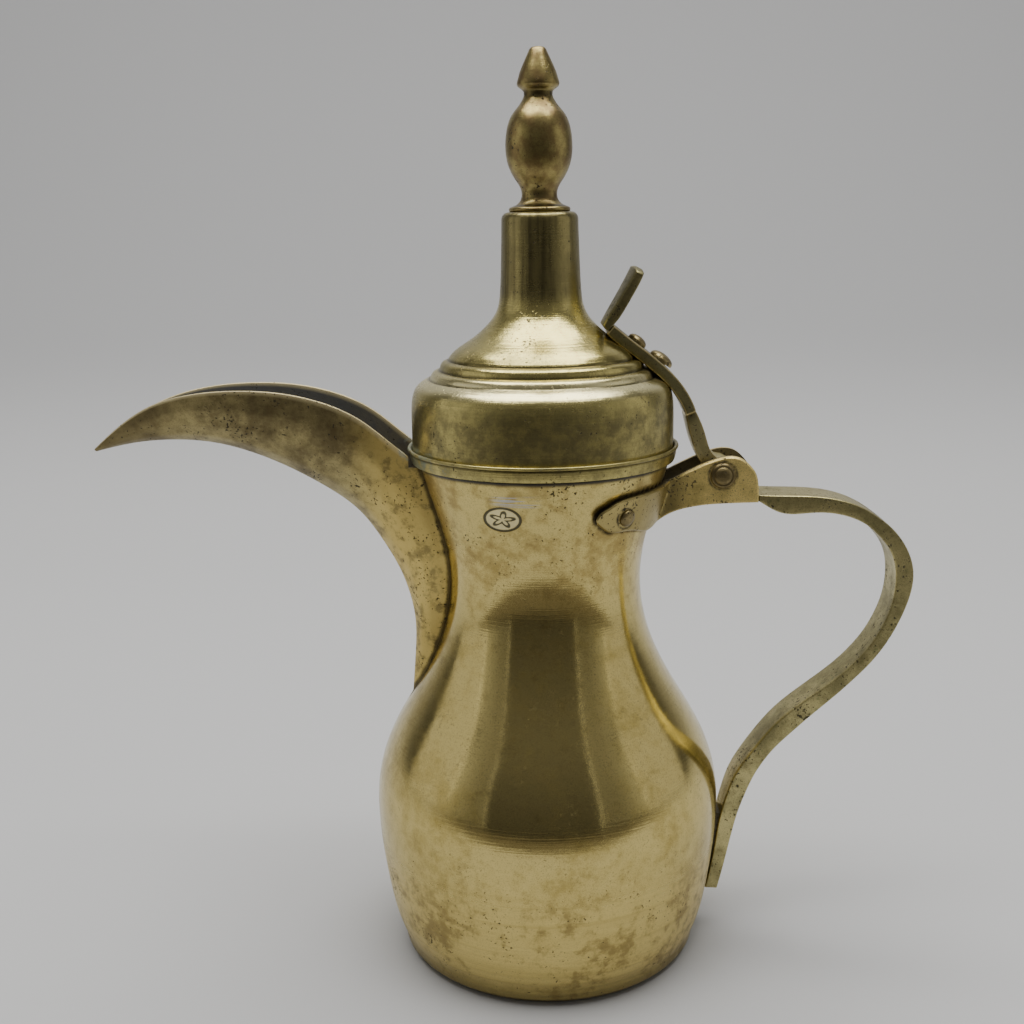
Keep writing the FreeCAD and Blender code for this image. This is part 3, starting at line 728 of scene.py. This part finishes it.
def spout_wall(name, side):
    """One bent sheet of the spout, on the near (-1) or far (1) side."""
    rows = spout_rows()
    shares = np.concatenate([np.linspace(0, 0.3, 8)[:-1], np.linspace(0.3, 1, 14)])
    verts, inside, lip = [], [], []
    per = 2 * len(shares) + 1
    for row in rows:
        half = row[4]
        sheet = min(1.15, half * 0.5)
        outer = [trough_point(row, s, half) for s in shares]
        inner = [trough_point(row, s, max(half - sheet, 0.2), sheet * 1.15) for s in shares]
        crown = np.mean([outer[-1], inner[-1]], axis=0)
        lift = (row[0:2] - row[2:4]) / np.linalg.norm(row[0:2] - row[2:4]) * 0.18
        crown = (crown[0] + lift[0], crown[1], crown[2] + lift[1])
        ring = outer + [crown] + inner[::-1]
        verts += [(x * MM, side * y * MM, z * MM) for x, y, z in ring]
        inside += [0.0] * (len(shares) + 1) + [1.0] * len(shares)
        lip += [0.0] * (len(shares) - 1) + [1.0, 1.0, 1.0] + [0.0] * (len(shares) - 1)
    faces = []
    for i in range(len(rows) - 1):
        for j in range(per):
            k = (j + 1) % per
            faces.append([i * per + j, (i + 1) * per + j, (i + 1) * per + k, i * per + k])
    faces.append(list(range(per)))
    faces.append([(len(rows) - 1) * per + j for j in range(per)][::-1])
    mesh = mesh_of(name, verts, faces)
    mesh.materials.append(MATERIALS["spout_brass"])
    set_float(mesh, "inside", inside)
    set_float(mesh, "lip", lip)
    piece = new_object(name, mesh)
    bm = bmesh.new()
    bm.from_mesh(mesh)
    bmesh.ops.recalc_face_normals(bm, faces=bm.faces)
    bm.to_mesh(mesh)
    bm.free()
    return piece


def body_plug():
    """The room that the body and the lid take up, as a solid to cut with."""
    return lathe("body_plug", [(0, 20.0), (49.9, 20.0)] + [p for p in smooth(BODY, 6) if p[1] > 20.5]
                 + [(37.0, 151.6), (40.4, 151.61), (40.4, 190.0), (0, 190.0)], "body_brass", 160, 60)


for wall_name, wall_side in (("spout_front", -1), ("spout_rear", 1)):
    wall = carve(spout_wall(wall_name, wall_side), body_plug())
    co = coords(wall.data)
    gap = np.hypot(co[:, 0], co[:, 1]) - body_radius(co[:, 2])
    set_float(wall.data, "join", np.clip(1.0 - gap / 2.2, 0, 1) * (co[:, 2] < 152.5))
    put(wall, "pot", wall_name + "_wall")


# ---- lid

def groove_marks(piece, lines, reach):
    """Darkens the bottoms of turned grooves at the given (r, z) in mm."""
    co = coords(piece.data)
    r = np.hypot(co[:, 0], co[:, 1])
    mark = np.zeros(len(co))
    for gr, gz in lines:
        mark = np.maximum(mark, np.clip(1.2 - np.hypot(r - gr, co[:, 2] - gz) / reach, 0, 1))
    set_float(piece.data, "groove", mark)


def lid_outer():
    """Wall, shoulder, two raised lines, cone and neck."""
    wall = [(38.2, 153.25), (38.2, 157.0), (38.2, 161.0)]
    shoulder = smooth([(38.2, 164.0), (38.1, 168.0), (37.6, 171.4), (36.6, 173.6), (34.9, 175.1),
                       (33.2, 176.0)], 6)
    lines = [(32.75, 175.9)]
    for a, b in (((32.4, 176.25), (30.1, 178.45)), ((29.6, 178.95), (27.5, 181.25))):
        mid = ((a[0] + b[0]) / 2 + 0.42, (a[1] + b[1]) / 2 + 0.42)
        lines += smooth([a, mid, b], 5)
        lines.append((b[0] - 0.35, b[1] + 0.1))
    cone = smooth([(26.9, 181.9), (25.4, 183.6), (22.3, 185.8), (19.3, 187.8), (16.7, 190.0), (14.6, 192.2),
                   (13.0, 194.6), (12.15, 197.0), (11.75, 199.6), (11.45, 204.0), (11.25, 209.0),
                   (11.1, 214.0), (10.95, 219.6), (10.75, 221.3), (9.9, 222.3), (8.8, 222.6)], 6)
    return wall + shoulder + lines + cone


def lid_profile():
    """The dome as a closed line: outside, the finial's seat, inside."""
    inner = smooth([(37.0, 164.0), (36.9, 168.0), (36.3, 171.0), (35.0, 172.9), (32.0, 174.7), (28.9, 177.6),
                    (26.0, 180.6), (24.0, 182.8), (21.5, 184.8), (18.5, 186.8), (15.8, 189.2), (13.5, 191.7),
                    (11.9, 194.3), (11.0, 196.9), (10.55, 199.6), (10.25, 204.0), (10.05, 209.0),
                    (9.9, 214.0), (9.8, 219.6)], 3)
    outer = lid_outer()
    return outer + [(2.5, 222.6), (2.5, 221.3), (9.8, 221.3)] + inner[::-1] + [(37.0, 153.25), outer[0]]


dome = lathe("lid_dome_turned", lid_profile(), "lid_brass", 192, 38)
groove_marks(dome, [(32.75, 175.9), (29.75, 178.6), (27.1, 181.5)], 0.62)
put(dome, "lid", "lid_dome")

BAND = [(34.1, 152.0), (38.1, 152.0), (38.5, 152.1), (38.75, 152.7), (38.95, 153.6), (39.1, 154.6),
        (39.2, 155.1), (39.1, 155.35), (39.45, 155.5), (39.7, 155.8), (39.65, 156.2), (39.3, 156.48),
        (38.8, 156.4), (38.45, 156.1), (38.25, 155.7), (38.25, 153.2), (34.1, 153.2), (34.1, 152.0)]
band = lathe("rim_band", BAND, "lid_brass", 192, 50)
groove_marks(band, [(39.0, 155.35), (38.4, 156.2)], 0.5)
put(band, "lid", "lid_rim_band")

STUD_AND_FOOT = [(0, 214.0), (2.2, 214.0), (2.4, 214.2), (2.4, 222.6), (8.4, 222.6), (8.7, 222.85),
                 (8.75, 223.3), (8.5, 223.75), (7.7, 224.05), (7.2, 224.25)]
EGG = [(6.6, 224.5), (5.5, 225.6), (5.0, 227.6), (5.7, 229.8), (7.2, 232.1), (8.4, 234.5), (9.15, 237.2),
       (9.4, 240.4), (9.2, 243.4), (8.6, 246.3), (7.2, 249.2), (5.3, 251.5), (4.25, 253.2)]
CONE = [(4.0, 253.9), (4.05, 254.9), (4.6, 255.5), (5.6, 256.2), (5.9, 256.7), (5.92, 257.3), (5.65, 258.2),
        (5.1, 260.0), (4.2, 262.1), (3.1, 264.4), (2.4, 265.9), (1.9, 266.5), (1.1, 266.68), (0, 266.7)]
finial = lathe("finial_turned", STUD_AND_FOOT + smooth(EGG, 6) + CONE, "finial_brass", 96, 45)
groove_marks(finial, [(4.0, 254.4), (7.3, 224.2)], 1.0)
put(finial, "lid", "finial")


# ---- strap, thumb piece and tongue

def dome_plug():
    """The room that the dome takes up, as a solid to cut with."""
    return lathe("dome_plug", [(0, 153.3)] + [p for p in lid_outer() if p[1] > 153.3] + [(0, 222.6)],
                 "body_brass", 160, 60)


STRAP_OUTER = [(20.6, 190.8), (22.6, 189.2), (25.3, 187.0), (31.1, 182.5), (37.0, 177.3), (40.0, 173.9),
               (42.9, 169.2), (44.2, 166.0)]
STRAP_INNER = [(41.4, 164.8), (40.0, 167.9), (37.4, 171.9), (34.9, 174.8), (29.4, 179.6), (23.8, 184.0),
               (20.6, 186.5), (18.6, 188.5)]
strap = plate("strap", smooth(STRAP_OUTER, 4) + smooth(STRAP_INNER, 4), 7.0, 0.4, "strap_brass")
put(carve(strap, dome_plug()), "lid", "lid_strap")

TONGUE_OUTER = [(44.2, 166.0), (46.9, 159.6), (49.1, 153.6), (51.0, 152.0)]
KNUCKLE = [(52.9, 151.68), (54.6, 150.8), (55.8, 149.3), (56.15, 147.5), (55.7, 145.5), (54.4, 143.9),
           (52.6, 143.25), (50.6, 143.4), (48.9, 144.4), (47.8, 146.1), (47.6, 148.0)]
TONGUE_INNER = [(46.8, 149.4), (44.9, 152.6), (42.9, 158.2), (41.3, 164.7)]
tongue = plate("tongue", smooth(TONGUE_OUTER, 4) + KNUCKLE + smooth(TONGUE_INNER, 4), 5.85, 0.4,
               "strap_brass")
bore = lathe("pin_bore", [(0, -20), (2.15, -20), (2.15, 20), (0, 20)], "strap_brass", 40, 60)
bore.data.transform(Matrix.Translation((PIN[0] * MM, 0, PIN[1] * MM)) @ Matrix.Rotation(math.pi / 2, 4, "X"))
carve(tongue, bore)
put(tongue, "lid", "hinge_tongue")


def thumb_piece():
    """A tab that flares to its rounded upper end, with a domed front face."""
    line_out = smooth([(20.3, 190.6), (21.8, 192.3), (25.0, 197.4), (28.2, 203.3), (29.05, 205.3)], 5)
    line_in = smooth([(18.1, 190.6), (20.1, 194.2), (23.1, 199.4), (26.2, 205.0), (26.9, 206.3)], 5)
    widths = np.interp(np.linspace(0, 1, len(line_out)), [0, 0.2, 0.5, 0.8, 0.93, 1.0],
                       [7.0, 7.1, 7.9, 8.9, 9.0, 8.0])
    foot = [(18.9, 189.4)] * 2
    rail_out = foot + [(20.2, 190.4)] + line_out + [(28.9, 206.1), (28.1, 206.55)]
    rail_in = foot + [(18.5, 189.6)] + line_in + [(27.5, 206.6), (28.1, 206.55)]
    half = [0.0, 6.9, 7.0] + list(widths) + [5.5, 0.0]
    piece = swept("thumb_tab", rail_out, rail_in, half, "strap_brass", 0.22)
    co = coords(piece.data)
    facing = (0.864, -0.503)
    depth = (co[:, 0] - 19.2) * facing[0] + (co[:, 2] - 190.8) * facing[1]
    rise = 1.4 * (1 - (co[:, 1] / 9.05) ** 2) * np.clip((1.4 - depth) / 2.6, 0, 1) * (co[:, 2] > 189.6)
    co[:, 0] -= facing[0] * rise
    co[:, 2] -= facing[1] * rise
    co[:, 2] = np.minimum(co[:, 2], 207.0)
    piece.data.vertices.foreach_set("co", (co / 1000).astype(np.float32).ravel())
    piece.data.update()
    return piece


put(thumb_piece(), "lid", "thumb_piece")


# ---- handle

def resampled(points, count):
    """Evenly spaced points on the smooth line."""
    p = np.array(smooth(points, 8))
    d = np.concatenate([[0], np.cumsum(np.linalg.norm(np.diff(p, axis=0), axis=1))])
    s = np.linspace(0, d[-1], count)
    return [(float(np.interp(q, d, p[:, 0])), float(np.interp(q, d, p[:, 1]))) for q in s]


def handle_bar():
    """Stub in the bracket, then the looped bar between its outer and inner rails."""
    count = 120
    outer = resampled(HANDLE_OUTER, count)
    inner = resampled(HANDLE_INNER, count)
    heights = np.array([z for _, z in outer])
    half = np.interp(heights, [12, 45, 75, 110, 125, 138, 141.3], [4.7, 5.2, 5.7, 6.25, 6.5, 6.9, 7.12])
    start_out = [(50.1, 140.3), (50.1, 141.3), (62.3, 141.3)]
    start_in = [(50.1, 140.3), (50.1, 139.3), (62.3, 139.35)]
    end_mid = ((outer[-1][0] + inner[-1][0]) / 2, (outer[-1][1] + inner[-1][1]) / 2)
    rail_out = start_out + outer + [end_mid]
    rail_in = start_in + inner + [end_mid]
    widths = [0.0, 6.2, 6.2] + list(half) + [0.0]
    return swept("handle_bar", rail_out, rail_in, widths, "handle_brass", 0.13)


put(handle_bar(), "pot", "handle")


# ---- hinge bracket

BRACKET_TOP = [(14.3, 140.4), (15.4, 142.1), (17.8, 143.5), (20.2, 144.8), (26.0, 145.7), (32.0, 145.9),
               (36.8, 146.5), (39.6, 147.8), (42.9, 149.4), (46.2, 150.9), (49.5, 152.1), (52.7, 152.9),
               (55.4, 152.9), (57.5, 152.2), (59.5, 150.6), (61.2, 148.5), (62.1, 145.9), (62.4, 142.6)]
BRACKET_LOW = [(62.35, 139.4), (53.0, 139.2), (46.4, 138.8), (43.1, 138.3), (39.8, 137.6), (37.0, 136.6),
               (34.5, 135.2), (32.0, 133.6), (29.5, 133.3), (26.7, 134.4), (24.0, 135.4), (20.4, 135.6),
               (18.0, 136.1), (16.0, 137.6), (14.6, 139.1)]
SHEET = 2.3
EDGE_ROUNDING = 0.45


def raised_faces(bm):
    """The faces of the plate's front, inside its rounded edge."""
    return [f for f in bm.faces if all(v.co.y > 0.5 for v in f.verts)]


def bracket(name, side):
    """Ear and arm in one bent plate: flat at the ear, then wrapped round the neck."""
    line = smooth(BRACKET_TOP, 4) + smooth(BRACKET_LOW, 4)
    ring = np.array(line)
    centre_in = np.array(offset(line + line[:1], 0.5))[:-1]
    bm = bmesh.new()
    n = len(ring)
    edge = [bm.verts.new((x, 0, z)) for x, z in ring]
    inner = [bm.verts.new((x, 1, z)) for x, z in -centre_in + 2 * ring]
    for i in range(n):
        bm.faces.new((edge[i], edge[(i + 1) % n], inner[(i + 1) % n], inner[i]))
    cap = bm.faces.new(inner)
    filled = bmesh.ops.triangulate(bm, faces=[cap])["faces"]
    for _ in range(4):
        long_edges = list({e for f in filled for e in f.edges if e.calc_length() > 1.1
                           and len(e.link_faces) == 2 and all(g in filled for g in e.link_faces)})
        if not long_edges:
            break
        bmesh.ops.subdivide_edges(bm, edges=long_edges, cuts=1)
        filled = raised_faces(bm)
        bmesh.ops.triangulate(bm, faces=[f for f in filled if len(f.verts) > 3])
        filled = raised_faces(bm)
    bm.verts.index_update()
    front = [(v.co.x, v.co.z, v.co.y) for v in bm.verts]
    faces = [[v.index for v in f.verts] for f in bm.faces]
    bm.free()

    def surface(x, z, thickness):
        """How far out the plate's face is: round the neck on the arm, flat at the ear."""
        radius = body_radius(z) + thickness
        wrapped = math.sqrt(max(radius * radius - x * x, 0.0)) if x < radius else 0.0
        flat = 6.3 + thickness - 0.1
        blend = 0.5 * (wrapped + flat + math.sqrt((wrapped - flat) ** 2 + 0.5))
        return blend if x < 40 else flat

    count = len(front)
    verts = []
    for x, z, raised in front:
        y = surface(x, z, SHEET if raised > 0.5 else SHEET - EDGE_ROUNDING)
        verts.append((x * MM, side * y * MM, z * MM))
    for x, z, _ in front:
        verts.append((x * MM, side * surface(x, z, 0.1) * MM, z * MM))
    back = [[i + count for i in f][::-1] for f in faces]
    wall = [[i, (i + 1) % n, (i + 1) % n + count, i + count] for i in range(n)]
    mesh = mesh_of(name, verts, faces + back + wall)
    # dark on the rounded edges, round the pin and the rivet and on the back: dirt and painted shade
    dirt_and_shade = [0.0 if raised > 0.5 else 0.35 for _, _, raised in front] + [1.0] * count
    for i, (x, z, raised) in enumerate(front):
        round_pin = abs(math.hypot(x - PIN[0], z - PIN[1]) - 4.1)
        round_rivet = abs(math.hypot((x - ARM_RIVET[0]) / 0.75, z - ARM_RIVET[1]) - 3.1)
        dirt_and_shade[i] = max(dirt_and_shade[i], 0.75 - 0.6 * round_pin, 0.75 - 0.6 * round_rivet)
    set_float(mesh, "grime_and_shade", dirt_and_shade)
    piece = new_object(name, mesh)
    mesh.materials.append(MATERIALS["bracket_brass"])
    tidy(mesh, 38)
    return piece


put(bracket("bracket_near", -1), "pot", "bracket_front")
put(bracket("bracket_far", 1), "pot", "bracket_rear")


# ---- pin and rivets

def head_line(radius, height, base, rise=0.25):
    """Half profile of a hammered head with a short upright rim, standing at height base."""
    turns = np.linspace(0, math.pi / 2, 9)
    radii = [radius * math.cos(a) for a in turns[:-1]] + [0.0]
    return [(r, base + rise + (height - rise) * math.sin(a)) for r, a in zip(radii, turns)]


def turned_on(name, profile, material, at, axis):
    """A small turned piece set at a place (mm) along an axis."""
    piece = lathe(name, profile, material, 40, 50)
    turn = Vector((0, 0, 1)).rotation_difference(Vector(axis)).to_matrix().to_4x4()
    piece.data.transform(Matrix.Translation(Vector(at) * MM) @ turn)
    return piece


def joined(name, pieces):
    """Several pieces as one object."""
    with bpy.context.temp_override(active_object=pieces[0], selected_editable_objects=pieces):
        bpy.ops.object.join()
    pieces[0].name = name
    return pieces[0]


pin_half = [(2.1, 8.5), (3.45, 8.5), (3.7, 8.7), (3.7, 9.05), (3.2, 9.5), (2.75, 9.55), (2.6, 9.5),
            (2.2, 9.9), (1.4, 10.15), (0, 10.2)]
pin = turned_on("hinge_pin_turned", [(r, -z) for r, z in pin_half[::-1]] + pin_half, "fastener_brass",
                (PIN[0], 0, PIN[1]), (0, 1, 0))
put(pin, "pot", "hinge_pin")

SLOPE = math.atan2(12.9, 17.0)
UP = (math.sin(SLOPE), 0, math.cos(SLOPE))
lid_rivet_pieces = []
for rx, rz, head_r, head_h, shank_r in ((27.4, 185.4, 2.9, 2.0, 1.6), (34.3, 180.0, 3.7, 2.3, 1.9)):
    tail = [(r, -6.6 - z) for r, z in head_line(shank_r + 1.0, 0.8, 0.0, 0.1)][::-1]
    line = tail + [(shank_r, -6.6), (shank_r, 0.02), (head_r, 0.02)] + head_line(head_r, head_h, 0.02, 0.5)
    lid_rivet_pieces.append(turned_on("rivet", line, "fastener_brass", (rx, 0, rz), UP))
put(joined("strap_rivets", lid_rivet_pieces), "lid", "lid_rivets")

neck_rivet_pieces = []
for rivet_side in (-1, 1):
    a = math.radians(rivet_side * NECK_RIVET_ANGLE)
    axis = Vector((math.cos(a) * 0.955, math.sin(a) * 0.955, -0.297))
    at = Vector((math.cos(a) * 35.75, math.sin(a) * 35.75, 139.8))
    tail = [(r, -4.4 - z) for r, z in head_line(2.3, 0.9, 0.0, 0.1)][::-1]
    line = tail + [(1.5, -4.4), (1.5, 0.0), (2.5, 0.0)] + head_line(2.5, 1.3, 0.0, 0.35)
    neck_rivet_pieces.append(turned_on("rivet", line, "fastener_brass", at, axis))
put(joined("arm_rivets", neck_rivet_pieces), "pot", "neck_rivets")


# ---- grime and painted shade on the body, then the hidden pieces

def add_grime_and_shade(piece):
    """Dark grime and painted shade beside the spout's seam and round the bracket's arm."""
    co = coords(piece.data)
    mark = np.zeros(len(co))
    seam = []
    for row in spout_rows():
        for share in np.linspace(0, 1, 40):
            x, y, z = trough_point(row, share, row[4])
            if z < 152 and abs(math.hypot(x, y) - body_radius(z)) < 0.9:
                seam.append((x, y, z))
    arm = []
    for x, z in smooth(BRACKET_TOP[:8], 4) + smooth(BRACKET_LOW[4:], 4) + [BRACKET_LOW[-1], BRACKET_TOP[0]]:
        r = body_radius(z)
        if x < r:
            arm.append((x, math.sqrt(r * r - x * x), z))
    outside = np.hypot(co[:, 0], co[:, 1]) > body_radius(co[:, 2]) - 0.6
    mirror = co.copy()
    mirror[:, 1] = np.abs(mirror[:, 1])
    for points, reach in ((seam, 2.0), (arm, 2.4)):
        q = np.array(points)
        for start in range(0, len(co), 4000):
            block = mirror[start:start + 4000]
            d = np.sqrt(((block[:, None, :] - q[None]) ** 2).sum(-1)).min(1)
            mark[start:start + 4000] = np.maximum(mark[start:start + 4000], np.clip(1.0 - d / reach, 0, 1))
    set_float(piece.data, "grime_and_shade", mark * outside)


add_grime_and_shade(body)
put(body, "pot", "body_shell")

for node, slot in (("base_plate", "body_brass"), ("handle_solder_pad", "solder"), ("lid_spigot", "lid_brass"),
                   ("neck_rivet_washers", "fastener_brass"), ("lid_rivet_washers", "fastener_brass"),
                   ("finial_washer", "fastener_brass"), ("finial_nut", "fastener_brass")):
    mesh = NODES[node].data
    mesh.materials.clear()
    mesh.materials.append(MATERIALS[slot])


# ---- stage, light and camera

def sweep():
    """Floor that curves up into a backdrop."""
    line = [(-0.24, 0.0), (0.45, 0.0)] + [(0.45 + 0.5 * math.sin(a), 0.5 - 0.5 * math.cos(a))
                                         for a in np.linspace(0.1, math.pi / 2, 12)] + [(0.95, 2.6)]
    verts = [(x, y, z) for y, z in line for x in (-3.5, 3.5)]
    faces = [[2 * i, 2 * i + 1, 2 * i + 3, 2 * i + 2] for i in range(len(line) - 1)]
    piece = new_object("paper_sweep", mesh_of("paper_sweep", verts, faces))
    t = Tree("paper")
    height = t.xyz(t.place())[2]
    # painted light: the paper is lighter on the floor, darker where it curves up and a little lighter again
    # higher up
    colour = t.mix(height.step(-0.01, 0.13), (0.475, 0.478, 0.482, 1), (0.335, 0.337, 0.342, 1))
    colour = t.mix(height.step(0.15, 0.6), colour, (0.385, 0.386, 0.391, 1))
    piece.data.materials.append(t.finish(colour, 0.75))
    piece.data.shade_smooth()
    return piece


sweep()


def board(name, x0, x1, low, high, material):
    """A flat board between two opposite corners, low and high, each (y, z)."""
    (y0, z0), (y1, z1) = low, high
    corners = [(x0, y0, z0), (x1, y0, z0), (x1, y1, z1), (x0, y1, z1)]
    piece = new_object(name, mesh_of(name, corners, [[0, 1, 2, 3]]))
    piece.data.materials.append(material)


def plain(name, grey):
    """A matt grey board's material."""
    return Tree(name).finish(grey, 0.9)


board("bench_front", -3.5, 3.5, (-3.0, -0.002), (-0.24, -0.002), plain("bench_front", (0.12, 0.11, 0.10, 1)))
board("front_wall", -3.5, 3.5, (-3.0, 0.0), (-3.0, 2.6), plain("front_wall", (0.42, 0.41, 0.39, 1)))


def area_light(name, at, target, size, power, colour):
    """A soft rectangular light at a place, facing a target."""
    light = bpy.data.lights.new(name, "AREA")
    light.shape = "RECTANGLE"
    light.size, light.size_y = size
    light.energy = power
    light.color = colour
    lamp = bpy.data.objects.new(name, light)
    lamp.location = at
    lamp.rotation_euler = (Vector(target) - Vector(at)).to_track_quat("-Z", "Y").to_euler()
    scene.collection.objects.link(lamp)


area_light("ceiling", (0.0, 0.05, 1.5), (0, 0, 0.1), (1.7, 1.2), 40, (1.0, 0.985, 0.96))
area_light("left", (-1.35, -0.1, 0.5), (0, 0, 0.12), (1.0, 1.0), 1.7, (1.0, 0.98, 0.95))
area_light("right", (1.35, -0.1, 0.5), (0, 0, 0.12), (1.0, 1.0), 1.5, (1.0, 0.98, 0.95))

world = bpy.data.worlds.new("room")
scene.world = world
world.use_nodes = True
background = world.node_tree.nodes["Background"]
background.inputs[0].default_value = (0.60, 0.61, 0.64, 1)
background.inputs[1].default_value = 0.22

TENT_FRONT = -0.62


def glowing_board(name, x0, x1, near, far):
    """Front side of the light tent; its glow runs from near (beside the opening) to far."""
    t = Tree(name)
    x = t.xyz(t.place())[0]
    glow = t.mix(x.size().step(0.55, 1.4), (near, near, near, 1), (far, far, far * 0.97, 1))
    material = t.finish((0.10, 0.10, 0.10, 1), 0.9, Emission_Color=glow, Emission_Strength=1.0)
    board(name, x0, x1, (TENT_FRONT, 0.03), (TENT_FRONT, 0.8), material)


board("opening", -0.50, 0.42, (-0.63, 0.02), (-0.63, 0.75), plain("opening", (0.09, 0.09, 0.093, 1)))
glowing_board("tent_left", -1.5, -0.50, 0.10, 0.38)
glowing_board("tent_right", 0.42, 1.5, 0.09, 0.36)
glowing_board("tent_edge_left", -0.52, -0.50, 0.8, 0.8)
glowing_board("tent_edge_right", 0.41, 0.43, 0.8, 0.8)

YAW, PITCH, ROLL = -0.02579, 0.22563, -0.01833
camera_data = bpy.data.cameras.new("camera")
camera_data.sensor_width = 36.0
camera_data.lens = 43.945
camera_data.clip_start = 0.01
camera = bpy.data.objects.new("camera", camera_data)
scene.collection.objects.link(camera)
right = Vector((math.cos(YAW), -math.sin(YAW), 0))
ahead = Vector((math.sin(YAW), math.cos(YAW), 0))
z_axis = Vector((0, 0, 1))
forward = ahead * math.cos(PITCH) - z_axis * math.sin(PITCH)
upward = z_axis * math.cos(PITCH) + ahead * math.sin(PITCH)
cam_x = right * math.cos(ROLL) + upward * math.sin(ROLL)
cam_y = upward * math.cos(ROLL) - right * math.sin(ROLL)
basis = Matrix((cam_x, cam_y, -forward)).transposed().to_4x4()
camera.matrix_world = Matrix.Translation((0, -0.36338, 0.21904)) @ basis
scene.camera = camera
